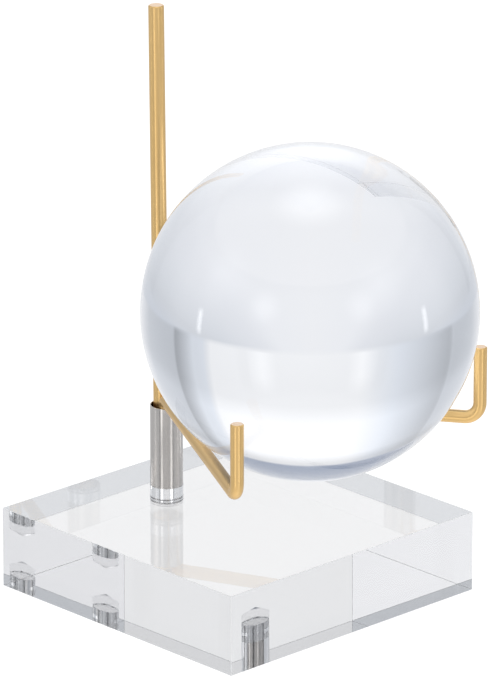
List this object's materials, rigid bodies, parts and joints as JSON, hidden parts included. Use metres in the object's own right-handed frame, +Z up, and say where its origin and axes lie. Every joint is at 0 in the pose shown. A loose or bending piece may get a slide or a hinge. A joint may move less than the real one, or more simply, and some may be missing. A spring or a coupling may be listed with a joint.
{
  "type": "crystal ball on stand",
  "caption": "Clear glass crystal ball resting on two bent brass arms and a straight back post held by a steel sleeve in a clear acrylic block.",
  "frame": {"origin": "middle of the base block's underside, on the surface that the stand rests on", "axes": "+Z up; -Y is the front, where the hooks are; +X is to the right as seen from the front"},
  "size_m": [0.082, 0.1056, 0.1405],
  "materials": {
    "acrylic": "polished clear cast acrylic",
    "adhesive": "cured clear adhesive, faintly cloudy",
    "stainless": "drawn stainless tube, satin along its length",
    "brass": "drawn brass rod with fine lengthwise draw lines, cut ends",
    "crystal": "polished optical glass"
  },
  "bodies": {
    "stand": {"base_block": "acrylic", "sleeve_adhesive": "adhesive", "sleeve_tube": "stainless"},
    "post": {"back_post": "brass"},
    "left": {"left_arm": "brass"},
    "right": {"right_arm": "brass"},
    "ball": {"crystal_ball": "crystal"}
  },
  "joints": [
    {"name": "ball_lift", "type": "slide", "parent": "stand", "child": "ball", "axis": [0, 0, 1], "range_m": [0, 0.11]},
    {"name": "left_arm_swing", "type": "hinge", "parent": "stand", "child": "left", "pos_m": [-0.00162, 0.02365, 0.03], "axis": [0, 0, -1], "range_deg": [0, 80]},
    {"name": "right_arm_swing", "type": "hinge", "parent": "stand", "child": "right", "pos_m": [0.00162, 0.02365, 0.03], "axis": [0, 0, 1], "range_deg": [0, 80]},
    {"name": "post_height", "type": "slide", "parent": "stand", "child": "post", "axis": [0, 0, 1], "range_m": [0, 0.02]}
  ]
}
